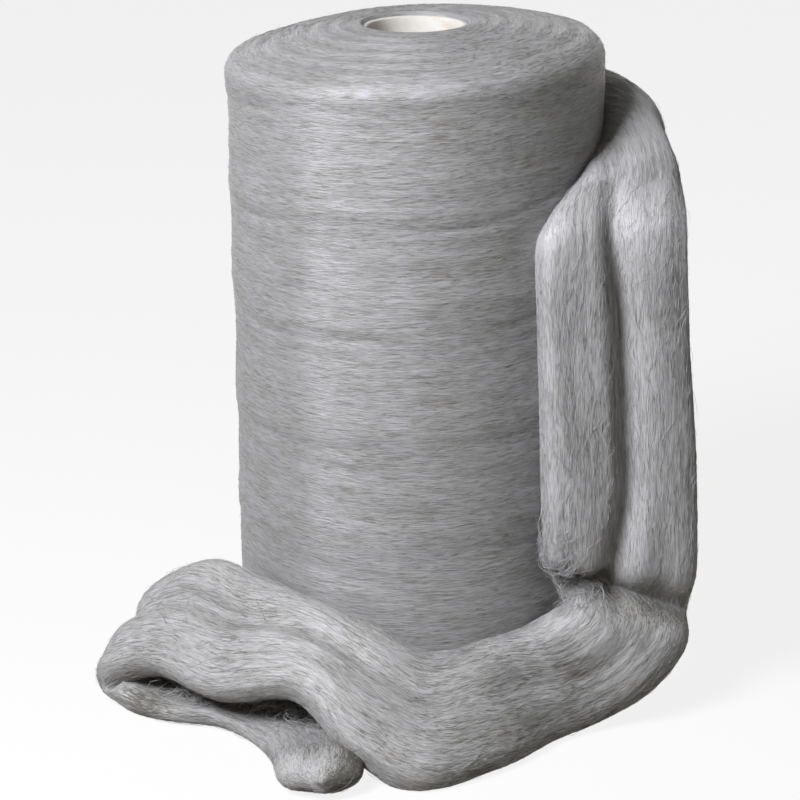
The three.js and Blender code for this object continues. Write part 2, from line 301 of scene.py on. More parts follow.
# The loose ribbon's route: where its middle is, which way it spreads from its inner edge to its outer
# edge, its width and thickness as shares of the ribbon's own, and the place and depth of its crease as
# shares of the half width and thickness. Angles are in degrees and heights in millimetres.
# [azimuth from +X towards the front, stand-off from the roll in thicknesses, height, spread direction,
#  width, thickness, crease place, crease depth]
RIBBON_ROUTE = [
    # still wound, coming out of the roll's back
    [-115, -0.67, below_top(0.8), [0, 0, 1], 0.85, 0.7, 0, 0],
    [-72, -0.26, below_top(0.78), [0, 0, 1], 0.84, 0.75, 0, 0],
    [-38, 0.04, below_top(0.74), [0, 0, 1], 0.74, 0.85, 0, 0],
    [-10, 0.3, below_top(0.71), [0.2, 0, 1], 0.62, 1, 0, 0],
    # gathered where it leaves the roll, then spreading as it falls
    [11, 0.48, below_top(0.76), [0.74, 0.36, 0.45], 0.58, 1.1, -0.1, 0],
    [25, 0.67, below_top(0.9), [0.87, 0.42, 0.02], 0.78, 1.1, -0.15, 0.1],
    [35, 0.89, fall_at(1), [0.94, 0.34, -0.02], 0.89, 1.1, -0.08, 0.5],
    [37, 1.07, fall_at(0.7), [0.975, 0.22, 0], 0.88, 1.1, 0.08, 0.75],
    [37, 1.26, fall_at(0.26), [0.977, 0.21, 0], 0.91, 1.1, 0.07, 0.75],
    [37, 1.33, fall_at(0), [0.97, 0.2, -0.16], 0.92, 1.05, -0.12, 0.7],
    # tucked in across, then swelling as it turns along the floor
    [35, 1.22, above_floor(0.816), [0.9, 0.14, -0.42], 0.91, 0.45, -0.3, 0.4],
    [37, 1.52, above_floor(0.622), [0.89, 0.17, -0.43], 0.8, 1.2, -0.2, 0.1],
    [42, 1.3, above_floor(0.48), [0.8, 0.15, -0.59], 0.82, 1.3, 0, 0.1],
    [50, 0.81, above_floor(0.337), [0.63, 0.04, -0.78], 0.76, 1.25, 0, 0.15],
    [62, 0.59, above_floor(0.276), [0.5, -0.22, -0.83], 0.72, 1.25, 0, 0.15],
    # round the front, leaning on the roll
    [78, 1.04, above_floor(0.245), [0.28, -0.71, -0.64], 0.78, 1.35, -0.1, 0.15],
    [91, 1.44, above_floor(0.255), [0, -0.84, -0.54], 0.92, 1.35, -0.15, 0.2],
    [104, 1.3, above_floor(0.429), [-0.1, -0.82, -0.5], 0.87, 1.2, -0.2, 0.25],
    [119, 1.04, above_floor(0.592), [-0.16, -0.88, -0.4], 0.7, 1.1, -0.2, 0.35],
    [138, 1.19, above_floor(0.551), [-0.42, -0.66, -0.62], 0.82, 1.1, -0.2, 0.5],
    [155, 1.7, above_floor(0.561), [-0.5, -0.56, -0.66], 0.79, 1.15, -0.2, 0.55],
    # folded under on the left and back along the floor to the cut end
    [164, 2.56, above_floor(0.327), [-0.52, -0.62, -0.58], 0.7, 1.0, -0.15, 0.4],
    [160, 2.26, above_floor(0.092), [-0.7, -0.7, -0.08], 0.58, 0.62, 0, 0.3],
    [147, 1.63, above_floor(0.071), [-0.81, -0.58, 0], 0.56, 0.52, 0, 0.25],
    [134, 1.07, above_floor(0.071), [-0.95, -0.31, 0], 0.52, 0.52, 0, 0.25],
    [122, 1.22, above_floor(0.071), [-0.95, -0.3, 0], 0.54, 0.54, 0, 0.2],
    [113, 1.93, above_floor(0.092), [-0.96, -0.28, 0], 0.52, 0.7, 0, 0.2],
    [108, 2.93, above_floor(0.122), [-1, 0.05, 0], 0.52, 0.9, 0, 0.2],
    [107, 3.41, above_floor(0.112), [-1, 0.05, 0], 0.47, 0.8, 0, 0],
    [106, 3.59, above_floor(0.102), [-1, 0.05, 0], 0.3, 0.55, 0, 0],
]


def smooth_step(value, low, high):
    """0 below low, 1 above high, and a smooth 3t^2 - 2t^3 rise between."""
    t = np.clip((value - low) / (high - low), 0, 1)
    return t * t * (3 - 2 * t)


def bell(offset, width):
    """1 at no offset, and exp(-(offset / width)^2) to either side."""
    return np.exp(-((offset / width) ** 2))


def run_length(points):
    """Length along a row of points, from the first to each."""
    return np.concatenate([[0], np.cumsum(np.linalg.norm(np.diff(points, axis=0), axis=1))])


def ripple(places, seed):
    """Smooth random swell, mostly within -1 to 1: cosine waves in random directions, added up and
    divided by their usual sum. A wave is about four units long."""
    rng = np.random.default_rng(seed)
    ways = rng.normal(size=(3, RIPPLE_WAVES))
    phases = rng.uniform(0, 2 * math.pi, RIPPLE_WAVES)
    return np.cos(places @ ways + phases).sum(-1) / math.sqrt(RIPPLE_WAVES)


def tufts(lay, coarse, fine, seed):
    """Relief along the fibres: two ripples in the lay's own coordinates, coarse and fine, each given as
    (height, shares of the lay)."""
    return coarse[0] * ripple(lay * coarse[1], seed) + fine[0] * ripple(lay * fine[1], seed + 1)


def unit(vectors):
    """The vectors, each divided by its length."""
    return vectors / np.maximum(np.linalg.norm(vectors, axis=-1, keepdims=True), 1e-12)


def through(stations, shares):
    """Centripetal Catmull-Rom curve through the stations. A share of 0 is the first and 1 the last, with
    the stations evenly spaced between. Each step of the knots is the square root of the chord."""
    rows = np.vstack([2 * stations[0] - stations[1], stations, 2 * stations[-1] - stations[-2]])
    place = shares * (len(stations) - 1)
    first = np.minimum(place.astype(int), len(stations) - 2)
    t = (place - first)[:, None]
    a, b, c, d = (rows[first + k] for k in range(4))
    chords = [np.sqrt(np.linalg.norm(q - p, axis=1))[:, None] for p, q in ((a, b), (b, c), (c, d))]
    mid = np.where(chords[1] < 1e-4, 1.0, chords[1])
    before = np.where(chords[0] < 1e-4, mid, chords[0])
    after = np.where(chords[2] < 1e-4, mid, chords[2])
    start = mid * ((b - a) / before - (c - a) / (before + mid) + (c - b) / mid)
    end = mid * ((c - b) / mid - (d - b) / (mid + after) + (d - c) / after)
    bend = -3 * b + 3 * c - 2 * start - end
    twist = 2 * b - 2 * c + start + end
    return b + t * (start + t * (bend + t * twist))


def grid_corners(rows, columns, ring_rows):
    """Corner numbers of the quads of a grid whose columns close on themselves, and whose rows do too
    if ring_rows is true. The faces point along (row step) x (column step)."""
    last = rows if ring_rows else rows - 1
    row, column = np.meshgrid(np.arange(last), np.arange(columns), indexing="ij")
    here = row * columns
    above = (row + 1) % rows * columns
    beside = (column + 1) % columns
    return np.stack([here + column, above + column, above + beside, here + beside], -1).reshape(-1, 4)


def grid_map(rows, columns, ring_rows):
    """A place on the unit square for each corner of grid_corners, with no seam folded back."""
    last = rows if ring_rows else rows - 1
    row, column = np.meshgrid(np.arange(last), np.arange(columns), indexing="ij")
    steps = [(0, 0), (1, 0), (1, 1), (0, 1)]
    corners = [np.stack([(column + c) / columns, (row + r) / last], -1) for r, c in steps]
    return np.stack(corners, -2).reshape(-1, 2)


def grid_normals(places, ring_rows):
    """Outward unit normals of a grid of points that closes along its columns."""
    across = np.roll(places, -1, 1) - np.roll(places, 1, 1)
    if ring_rows:
        along = np.roll(places, -1, 0) - np.roll(places, 1, 0)
    else:
        along = np.gradient(places, axis=0)
    return unit(np.cross(along, across))


def mesh_piece(name, places, corners, material, slot, square, **layers):
    """A piece from a table of points and a table of faces that all have as many corners. square is its
    own map, a point for each corner, and layers are values or vectors for each point."""
    mesh = bpy.data.meshes.new(name)
    count, sides = corners.shape
    mesh.vertices.add(len(places))
    mesh.vertices.foreach_set("co", np.asarray(places, np.float32).ravel())
    mesh.loops.add(count * sides)
    mesh.loops.foreach_set("vertex_index", np.asarray(corners, np.int32).ravel())
    mesh.polygons.add(count)
    mesh.polygons.foreach_set("loop_start", np.arange(count, dtype=np.int32) * sides)
    mesh.update(calc_edges=True)
    mesh.shade_smooth()
    mesh.uv_layers.new(name="OFBake").data.foreach_set("uv", np.asarray(square, np.float32).ravel())
    for label, values in layers.items():
        kind, key = ("FLOAT_VECTOR", "vector") if values.ndim == 2 else ("FLOAT", "value")
        layer = mesh.attributes.new(label, kind, "POINT")
        layer.data.foreach_set(key, np.asarray(values, np.float32).ravel())
    mesh.materials.append(material)
    piece = bpy.data.objects.new(name, mesh)
    bpy.context.scene.collection.objects.link(piece)
    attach(piece, "root")
    return piece


# Wound roll
def arc_rows(centre_radius, centre_height, radius, start, end):
    """Points (radius, height) of a round edge, from one angle to another in degrees."""
    angle = np.radians(np.linspace(start, end, ARC_ROWS))
    return np.stack([centre_radius + radius * np.cos(angle), centre_height + radius * np.sin(angle)], -1)


def roll_profile():
    """The profile of the wound wool as (radius, height) points: base, foot, side, shoulder and crowned
    end, in that order. It closes down the bore, from its last point to its first."""
    base = np.linspace(BORE_RADIUS, ROLL_RADIUS - FOOT_RADIUS, BASE_ROWS + 1)[:-1]
    side = np.linspace(FOOT_RADIUS, SHOULDER_FOOT, SIDE_ROWS + 2)[1:-1]
    end = np.linspace(CROWN_RADIUS, BORE_RADIUS, END_ROWS + 1)[1:]
    fall = SHOULDER_DROP * ((end - BORE_RADIUS) / (CROWN_RADIUS - BORE_RADIUS)) ** 2
    return np.vstack([
        np.stack([base, np.zeros_like(base)], -1),
        arc_rows(ROLL_RADIUS - FOOT_RADIUS, FOOT_RADIUS, FOOT_RADIUS, -90, 0),
        np.stack([np.full_like(side, ROLL_RADIUS), side], -1),
        arc_rows(CROWN_RADIUS, SHOULDER_FOOT, SHOULDER_RADIUS, 0, 90),
        np.stack([end, ROLL_HEIGHT - fall], -1),
    ])


def band_relief(turns, height, wander):
    """How far the side stands out: lapped bands climb as a helix. Each band leans from its proud lower
    edge to its sunk upper edge, and a furrow, which wander breaks up, marks each lap."""
    sway = BAND_SWAY * np.cos(4 * math.pi * turns + 2 * BAND_SWAY_ANGLE)
    bands = (height + sway + LAP_WANDER * wander) / BAND_PITCH - turns
    share = bands - np.floor(bands)
    gap = np.minimum(share, 1 - share) * BAND_PITCH
    furrow = FURROW_DEPTH * np.clip(FURROW_SHARE + wander, 0, FURROW_MOST) * bell(gap, FURROW_HALF_WIDTH)
    return BAND_LAP * (0.5 - share) * smooth_step(gap, 0, LAP_EASE) - furrow


def roll_surface():
    """The wound wool: the profile turned about the axis, with the bands and long low swells pushed out of
    the side, the turns raised on the end as a spiral, and tufts along the fibres on both. Also gives the
    lay: places counted in streaks, which are long round the roll and narrow across it."""
    profile = roll_profile()
    rows = len(profile)
    angle = np.linspace(math.pi, -math.pi, ROLL_COLUMNS, endpoint=False)[None, :]
    radius = np.repeat(profile[:, :1], ROLL_COLUMNS, 1)
    height = np.repeat(profile[:, 1:], ROLL_COLUMNS, 1)
    turns = np.repeat(angle, rows, 0) / (2 * math.pi)
    round_x, round_y = radius * np.cos(angle), radius * np.sin(angle)
    spots = np.stack([round_x, round_y, height], -1)
    lay = np.stack([round_x, round_y, 0 * height], -1) / STREAK_LENGTH
    lay[..., 2] = run_length(profile)[:, None] / STREAK_WIDTH
    wander = ripple(spots / WANDER_LENGTH, WANDER_SEED)
    relief = tufts(lay, ROLL_TUFTS, ROLL_FINE_TUFTS, ROLL_TUFT_SEED)
    swell = SWELL_RELIEF * ripple(spots / SWELL_LENGTHS, SWELL_SEED)
    on_side = smooth_step(radius, CROWN_RADIUS, ROLL_RADIUS) * smooth_step(height, 0, FOOT_RADIUS)
    on_end = smooth_step(radius, BORE_RADIUS, BORE_RADIUS + TURN_THICKNESS)
    on_end = on_end * smooth_step(height, SHOULDER_FOOT, SHOULDER_FOOT + SHOULDER_RADIUS)
    slant = END_SLANT * np.cos(angle) * smooth_step(height, SHOULDER_FOOT / 2, SHOULDER_FOOT)
    slant = slant * smooth_step(radius, BORE_RADIUS, CROWN_RADIUS)
    turn = TURN_RELIEF * np.cos(2 * math.pi * (radius / TURN_THICKNESS - turns))
    out = on_side * (band_relief(turns, height, wander) + relief + swell)
    rise = slant + on_end * (turn + relief)
    push = np.stack([out * np.cos(angle), out * np.sin(angle), rise], -1)
    return spots + push + AXIS, lay


# Loose ribbon
def ribbon_section(row):
    """The ribbon's sections as (across, off) pairs from -1 to 1, starting at the outer edge: a flat pad
    with round edges, |across|^n + |off|^n = 1. It is fuller on the fall and rounder at the cut end."""
    angle = np.linspace(0, 2 * math.pi, RIBBON_SIDES, endpoint=False)[None, :]
    across = np.sign(np.cos(angle)) * np.abs(np.cos(angle)) ** RIBBON_GATHER
    falling = smooth_step(row, *FALL_STARTS) * (1 - smooth_step(row, *FALL_ENDS))
    ending = smooth_step(row, *END_STARTS)
    n = RIBBON_FULLNESS + FALL_FULLNESS * falling - END_ROUNDNESS * ending
    full = np.maximum(0, 1 - np.abs(across) ** n) ** (1 / n)
    return across, np.sign(np.sin(angle)) * full


def lock_relief(across, row):
    """How far the ribbon's faces swell: locks of fibre run along it and wander, and low lumps cross it.
    Both are cosines, of the place across and of the place along the route, counted in its rows."""
    sway = LOCK_SWAY * np.sin(2 * math.pi * row / LOCK_SWAY_ROWS)
    locks = np.cos(2 * math.pi * (across / LOCK_PITCH + sway))
    lumps = np.cos(2 * math.pi * row / LUMP_ROWS - LUMP_SKEW * across / (RIBBON_WIDTH_MM * MM / 2))
    return LOCK_RELIEF * locks + LUMP_RELIEF * lumps


def ribbon_surface():
    """The loose ribbon: its section carried along the route, parted by its crease, with locks and finer
    tufts swelling along the fibres, and flattened where it lies on the floor. Also gives the lay, how much
    shade is painted on each point from 0 to 1, and each ring's row of the route."""
    azimuth = np.radians([row[0] for row in RIBBON_ROUTE])
    reach = ROLL_RADIUS / MM + RIBBON_THICKNESS_MM * np.array([row[1] for row in RIBBON_ROUTE])
    heights = np.array([row[2] for row in RIBBON_ROUTE])
    middles = np.stack([reach * np.cos(azimuth), -reach * np.sin(azimuth), heights], -1)
    spreads = unit(np.array([row[3] for row in RIBBON_ROUTE], float))
    sizes = np.array([row[4:6] for row in RIBBON_ROUTE]) * [RIBBON_WIDTH_MM / 2, RIBBON_THICKNESS_MM / 2]
    creases = np.array([row[6:8] for row in RIBBON_ROUTE]) * sizes

    fine = np.linspace(0, 1, ROUTE_SAMPLES)
    length = run_length(through(middles, fine))
    whole = length[-1]
    run = np.concatenate([np.linspace(0, whole - END_RUN_MM, RIBBON_RINGS - END_RINGS, endpoint=False),
                          np.linspace(whole - END_RUN_MM, whole, END_RINGS)])
    shares = np.interp(run, length, fine)
    to_end = np.clip((run - whole + END_RUN_MM) / END_RUN_MM, 0, 1)
    middle = through(middles, shares) * MM
    spread = unit(through(spreads, shares))
    size = through(sizes, shares) * MM * np.sqrt(1 - END_BLUNTNESS * to_end ** 2)[:, None]
    crease = through(creases, shares) * MM
    face = unit(np.cross(spread, np.gradient(middle, axis=0)))
    row = (shares * (len(RIBBON_ROUTE) - 1))[:, None]
    across, full = ribbon_section(row)
    wide = across * size[:, :1]
    parting = crease[:, 1:] * bell(wide - crease[:, :1], CREASE_HALF_WIDTH)
    deep = full * (size[:, 1:] - parting + lock_relief(wide, row))
    places = middle[:, None] + wide[..., None] * spread[:, None] + deep[..., None] * face[:, None]
    along = np.repeat((run * MM)[:, None], RIBBON_SIDES, 1)
    lay = np.stack([along / STREAK_LENGTH, wide / STREAK_WIDTH, deep / STREAK_WIDTH], -1)
    relief = tufts(lay, RIBBON_TUFTS, RIBBON_FINE_TUFTS, RIBBON_TUFT_SEED)
    places = places + relief[..., None] * grid_normals(places, False) + AXIS
    places[..., 2] = np.maximum(places[..., 2], FLOOR_CLEARANCE)
    # Painted shade: darker colour in the crease, the tuck, the run on the floor, the turn under and the
    # groove
    tuck = bell(row - TUCK_ROW, TUCK_ROWS) * (full < 0)
    groove = smooth_step(row, *GROOVE_STARTS) * smooth_step(-across, *GROOVE_ACROSS)
    turn = bell(row - TURN_ROW, TURN_ROWS)
    low = smooth_step(row, *RUN_STARTS)
    dim = CREASE_PAINTED_SHADE * parting / size[:, 1:] + TUCK_PAINTED_SHADE * tuck + RUN_PAINTED_SHADE * low
    dim = dim + TURN_PAINTED_SHADE * turn + GROOVE_PAINTED_SHADE * groove
    return places, lay, np.clip(dim, 0, 1), row


def capped(places, corners, square, lay, dim):
    """Closes the two open ends of a grid with fans of triangles about their middles. The grid's own map
    is lowered to leave a strip along its top, where each fan is a disc."""
    rows, columns = places.shape[:2]
    points = places.reshape(-1, 3)
    middles = places[[0, -1]].mean(1)
    ring = np.arange(columns)
    first, last = len(points), len(points) + 1
    head = np.stack([np.full(columns, first), ring, np.roll(ring, -1)], -1)
    tail = ring + (rows - 1) * columns
    foot = np.stack([np.full(columns, last), np.roll(tail, -1), tail], -1)
    triangles = np.vstack([corners[:, [0, 1, 2]], corners[:, [0, 2, 3]], head, foot])
    spots = square.reshape(-1, 4, 2) * [1, 1 - CAP_STRIP]
    turn = 2 * math.pi * ring / columns
    rim = CAP_RADIUS * CAP_STRIP * np.stack([np.cos(turn), np.sin(turn)], -1)
    fans = []
    for across in CAP_MIDDLES:
        centre = [across, 1 - CAP_STRIP / 2]
        fans.append(centre + np.stack([0 * rim, rim, np.roll(rim, -1, 0)], 1))
    maps = np.vstack([spots[:, [0, 1, 2]], spots[:, [0, 2, 3]], *fans])
    lays = np.vstack([lay.reshape(-1, 3), lay[[0, -1]].mean(1)])
    # Painted shade for each point, and none at the two middles of the ends
    dims = np.concatenate([dim.ravel(), [0, 0]])
    return np.vstack([points, middles]), triangles, maps.reshape(-1, 2), lays, dims


# Fibres that lie on the wool
def sample_grid(values, row, column, ring_rows):
    """Values of a grid between its points, by bilinear blending. Its columns close on themselves, and its
    rows do too if ring_rows is true. Otherwise they stop at the first and the last."""
    rows, columns = values.shape[:2]
    low_row = np.floor(row).astype(int)
    low_column = np.floor(column).astype(int)
    part_row = (row - low_row)[..., None]
    part_column = (column - low_column)[..., None]
    limit = (lambda r: r % rows) if ring_rows else (lambda r: np.clip(r, 0, rows - 1))
    top, bottom = limit(low_row), limit(low_row + 1)
    left, right = low_column % columns, (low_column + 1) % columns
    upper = values[top, left] * (1 - part_column) + values[top, right] * part_column
    lower = values[bottom, left] * (1 - part_column) + values[bottom, right] * part_column
    return upper * (1 - part_row) + lower * part_row


def strand_mesh(knots, normals, radius):
    """Closed three-sided strands, pointed at both ends. knots is strands x knots x 3. A ring of points
    stands about each inner knot, square to the strand, and each strand has its own cell of the map."""
    count, length = knots.shape[:2]
    rings = length - 2
    per = rings * STRAND_SIDES + 2
    way = unit(np.gradient(knots, axis=1))[:, 1:-1]
    up = unit(normals[:, 1:-1] - (normals[:, 1:-1] * way).sum(-1, keepdims=True) * way)
    side = np.cross(way, up)
    turn = (2 * math.pi * np.arange(STRAND_SIDES) / STRAND_SIDES)[:, None]
    ring = up[:, :, None] * np.cos(turn) + side[:, :, None] * np.sin(turn)
    ring = knots[:, 1:-1, None] + ring * radius[:, None, None, None]
    places = np.concatenate([knots[:, :1], ring.reshape(count, -1, 3), knots[:, -1:]], 1)

    faces, spots = [], []
    for j in range(STRAND_SIDES):
        k = (j + 1) % STRAND_SIDES
        low, high = j / STRAND_SIDES, (j + 1) / STRAND_SIDES
        levels = np.arange(1, rings + 1) / (rings + 1)
        faces.append([0, 1 + k, 1 + j])
        spots.append([(0, low), (levels[0], high), (levels[0], low)])
        for r in range(rings - 1):
            a, b = 1 + r * STRAND_SIDES + j, 1 + r * STRAND_SIDES + k
            c, d = a + STRAND_SIDES, b + STRAND_SIDES
            here, there = levels[r], levels[r + 1]
            faces += [[a, b, d], [a, d, c]]
            spots += [[(here, low), (here, high), (there, high)], [(here, low), (there, high), (there, low)]]
        end = 1 + (rings - 1) * STRAND_SIDES
        faces.append([per - 1, end + j, end + k])
        spots.append([(1, low), (levels[-1], low), (levels[-1], high)])
    number = np.arange(count)
    corners = (np.array(faces)[None] + per * number[:, None, None]).reshape(-1, 3)
    cells = math.ceil(math.sqrt(count))
    cell = np.stack([number % cells, number // cells], -1)[:, None, None]
    square = (cell + CELL_MARGIN + (1 - 2 * CELL_MARGIN) * np.array(spots)[None]) / cells
    return places.reshape(-1, 3), corners, square.reshape(-1, 2), per


def lay_strands(name, grid, ring_rows, along, weight, dim, material, lay):
    """Strands laid over a grid of points. Each has its middle at a random spot, chosen by area times
    weight, and runs with a slight slope and bow from row to row where along is 0, and from column to
    column where it is 1. It arches off the surface, and its ends dip back into it. The shade painted on
    each point of the grid, from 0 to 1, darkens the strands seated there."""
    rng = np.random.default_rng(FIBRE_SEEDS[name])
    count = lay.count
    normals = grid_normals(grid, ring_rows)
    steps = [np.linalg.norm(np.roll(grid, -1, k) - grid, axis=-1) for k in (0, 1)]
    chance = steps[0] * steps[1] * weight
    if not ring_rows:
        chance[-1] = 0
    spot = rng.choice(chance.size, count, p=chance.ravel() / chance.sum())
    seat = np.stack(np.unravel_index(spot, chance.shape), -1) + rng.uniform(0, 1, (count, 2))
    step_along = steps[along].ravel()[spot]
    step_across = np.maximum(steps[1 - along].ravel()[spot], 1e-5)
    reach = rng.uniform(*lay.length, count)[:, None]
    lean = rng.normal(0, lay.slope, count)[:, None]
    bow = rng.normal(0, lay.slope / 2, count)[:, None]
    t = np.linspace(-0.5, 0.5, lay.knots)[None, :]
    waves = rng.uniform(*STRAND_WAVES, count)[:, None]
    wave = 2 * math.pi * (waves * t + rng.uniform(0, 1, count)[:, None])
    swing = lay.curl * rng.uniform(*CURL_SHARES, count)[:, None]
    drift = reach * (lean * t + bow * (4 * t * t - BOW_CENTRE)) + swing * np.cos(wave)
    spots = [None, None]
    spots[along] = seat[:, along, None] + reach * t / step_along[:, None]
    spots[1 - along] = seat[:, 1 - along, None] + drift / step_across[:, None]
    row, column = spots
    knots = sample_grid(grid, row, column, ring_rows)
    if not ring_rows:
        past = row - np.clip(row, 0, grid.shape[0] - 1)
        knots = knots + past[..., None] * sample_grid(np.gradient(grid, axis=0), row, column, False)
    up = unit(sample_grid(normals, row, column, ring_rows))
    width = rng.uniform(*lay.radius, count)
    arch = rng.uniform(*LIFT_SHARES, count)[:, None] * lay.lift * (1 - ARCH_DIP * t * t)
    arch = arch + swing * np.sin(wave) / 2
    loose = rng.uniform(0, 1, count) < lay.stray
    flick = STRAY_LIFT * np.where(loose, rng.uniform(*STRAY_SHARES, count), 0)[:, None]
    flick = flick * np.maximum(t - STRAY_START, 0) ** 2
    knots = knots + (arch + flick)[..., None] * up
    knots[..., 2] = np.maximum(knots[..., 2], FLOOR_CLEARANCE + width[:, None])
    places, corners, square, per = strand_mesh(knots, up, width)
    # Painted shade: a strand's tone is lowered by the shade painted where it is seated
    tone = np.repeat(rng.uniform(LEAST_TONE, 1, count) - PAINTED_SHADE_DEPTH * dim.ravel()[spot], per)
    piece = mesh_piece(name, places, corners, material, "steel_wool", square, tone=tone)
    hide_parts("wool_roll")


# Card core
def core_surface():
    """The card tube as a closed ring profile with rounded rims and a shallow spiral groove inside, where
    the edges of the lining meet. Also gives how near each point is to that seam, from 0 to 1."""
    inner = CORE_RADIUS - CORE_WALL
    mid = CORE_RADIUS - CORE_WALL / 2
    bend = np.radians(np.linspace(180, 0, RIM_ROWS))
    rim = np.stack([mid + CORE_WALL / 2 * np.cos(bend), RIM_ROUND * np.sin(bend)], -1)
    wall = np.linspace(CORE_FOOT + RIM_ROUND, CORE_HEAD - RIM_ROUND, CORE_ROWS + 2)[1:-1]
    profile = np.vstack([
        rim + [0, CORE_HEAD - RIM_ROUND],
        rim[::-1] * [1, -1] + [0, CORE_FOOT + RIM_ROUND],
        np.stack([np.full_like(wall, inner), wall], -1),
    ])
    angle = np.linspace(0, 2 * math.pi, CORE_COLUMNS, endpoint=False)[None, :]
    radius = np.repeat(profile[:, :1], CORE_COLUMNS, 1)
    height = np.repeat(profile[:, 1:], CORE_COLUMNS, 1)
    to_seam = (height / SEAM_PITCH - angle / (2 * math.pi)) % 1 - 0.5
    on_lining = radius < mid - CORE_WALL / 4
    radius = radius + SEAM_DEPTH * bell(to_seam, SEAM_HALF_WIDTH) * on_lining
    places = np.stack([radius * np.cos(angle), radius * np.sin(angle), height], -1) + AXIS
    return places, bell(to_seam, SEAM_LINE)


# Materials
class Nodes:
    """Shorthand for adding shader nodes to a tree and joining them."""

    def __init__(self, tree):
        self.tree = tree

    def add(self, kind, **settings):
        """A new node of that kind, with its settings."""
        node = self.tree.nodes.new(kind)
        for key, value in settings.items():
            setattr(node, key, value)
        return node

    def join(self, source, target):
        self.tree.links.new(source, target)

    def grain(self, vector, grain):
        """Noise at the vector, with its span spread over 0 to 1."""
        node = self.add("ShaderNodeTexNoise")
        node.inputs["Scale"].default_value = grain.scale
        node.inputs["Detail"].default_value = grain.detail
        node.inputs["Roughness"].default_value = grain.roughness
        self.join(vector, node.inputs["Vector"])
        return self.spread(node.outputs["Fac"], *grain.span)

    def maths(self, operation, *values):
        """The operation on values that are numbers or other nodes' outputs."""
        node = self.add("ShaderNodeMath", operation=operation)
        for socket, value in zip(node.inputs, values):
            if isinstance(value, (int, float)):
                socket.default_value = value
            else:
                self.join(value, socket)
        return node.outputs[0]

    def weighted(self, *terms):
        """Sum of the terms, each (value, weight)."""
        total = 0.0
        for value, weight in terms:
            total = self.maths("MULTIPLY_ADD", value, weight, total)
        return total

    def spread(self, value, low, high, to_low=0.0, to_high=1.0):
        """The value, moved from low and high to to_low and to_high, and held between them."""
        node = self.add("ShaderNodeMapRange")
        self.join(value, node.inputs["Value"])
        for key, number in (("From Min", low), ("From Max", high), ("To Min", to_low), ("To Max", to_high)):
            node.inputs[key].default_value = number
        return node.outputs["Result"]

    def shades(self, value, stops, colours):
        """Colour by value: each of the colours at its own stop, and blended between."""
        node = self.add("ShaderNodeValToRGB")
        while len(node.color_ramp.elements) < len(stops):
            node.color_ramp.elements.new(1.0)
        for element, position, colour in zip(node.color_ramp.elements, stops, colours):
            element.position = position
            element.color = (*colour, 1.0)
        self.join(value, node.inputs["Fac"])
        return node.outputs["Color"]


def new_material(name):
    """An empty node material with a Principled shader on its output."""
    material = bpy.data.materials.new(name)
    material.use_nodes = True
    nodes = Nodes(material.node_tree)
    shader = material.node_tree.nodes["Principled BSDF"]
    return material, nodes, shader


def streak_group():
    """Shared look of laid wool: fine streaks over wider locks, in the lay's own coordinates, and slow
    patches over the whole piece. Tone is 0 in the gaps and 1 on bright fibres. Height is for bump."""
    tree = bpy.data.node_groups.new("laid_wool", "ShaderNodeTree")
    tree.interface.new_socket("Lay", in_out="INPUT", socket_type="NodeSocketVector")
    tree.interface.new_socket("Place", in_out="INPUT", socket_type="NodeSocketVector")
    tree.interface.new_socket("Tone", in_out="OUTPUT", socket_type="NodeSocketFloat")
    tree.interface.new_socket("Height", in_out="OUTPUT", socket_type="NodeSocketFloat")
    nodes = Nodes(tree)
    entry = nodes.add("NodeGroupInput")
    leave = nodes.add("NodeGroupOutput")
    fine = nodes.grain(entry.outputs["Lay"], FINE_STREAKS)
    locks = nodes.grain(entry.outputs["Lay"], LOCK_STREAKS)
    patches = nodes.grain(entry.outputs["Place"], WOOL_PATCHES)
    tone = nodes.weighted((fine, FINE_SHARE), (locks, LOCK_SHARE), (patches, PATCH_SHARE))
    nodes.join(tone, leave.inputs["Tone"])
    nodes.join(nodes.weighted((fine, FINE_BUMP), (locks, LOCK_BUMP)), leave.inputs["Height"])
    return tree


def wool_material(name, group, gap, mid, bright, metallic, turn):
    """Laid steel wool: grey streaks from the gaps' shade to the brightest fibres', darkened by painted shade
    where the piece gives it, with a metal's sheen drawn out across the fibres. turn is the sheen's
    direction, as a share of a turn from the map's u."""
    material, nodes, shader = new_material(name)
    lay = nodes.add("ShaderNodeAttribute", attribute_name="lay")
    place = nodes.add("ShaderNodeTexCoord")
    look = nodes.add("ShaderNodeGroup", node_tree=group)
    nodes.join(lay.outputs["Vector"], look.inputs["Lay"])
    nodes.join(place.outputs["Object"], look.inputs["Place"])
    # Painted shade: the piece's attribute of painted shade lowers the tone towards the darkest colour
    dim = nodes.add("ShaderNodeAttribute", attribute_name="dim")
    tone = nodes.weighted((look.outputs["Tone"], 1.0), (dim.outputs["Fac"], -PAINTED_SHADE_DEPTH))
    colour = nodes.shades(tone, WOOL_STOPS, (PAINTED_SHADE_COLOUR, gap, mid, bright))
    nodes.join(colour, shader.inputs["Base Color"])
    nodes.join(nodes.spread(tone, *ROUGHNESS_TONES, *WOOL_ROUGHNESS), shader.inputs["Roughness"])
    shader.inputs["Metallic"].default_value = metallic
    shader.inputs["Specular IOR Level"].default_value = WOOL_SPECULAR
    shader.inputs["Anisotropic"].default_value = WOOL_SHEEN_STRETCH
    shader.inputs["Anisotropic Rotation"].default_value = turn
    tangent = nodes.add("ShaderNodeTangent", direction_type="UV_MAP", uv_map="OFBake")
    nodes.join(tangent.outputs["Tangent"], shader.inputs["Tangent"])
    bump = nodes.add("ShaderNodeBump")
    bump.inputs["Strength"].default_value = WOOL_BUMP_STRENGTH
    bump.inputs["Distance"].default_value = WOOL_BUMP
    nodes.join(look.outputs["Height"], bump.inputs["Height"])
    nodes.join(bump.outputs["Normal"], shader.inputs["Normal"])
    return material


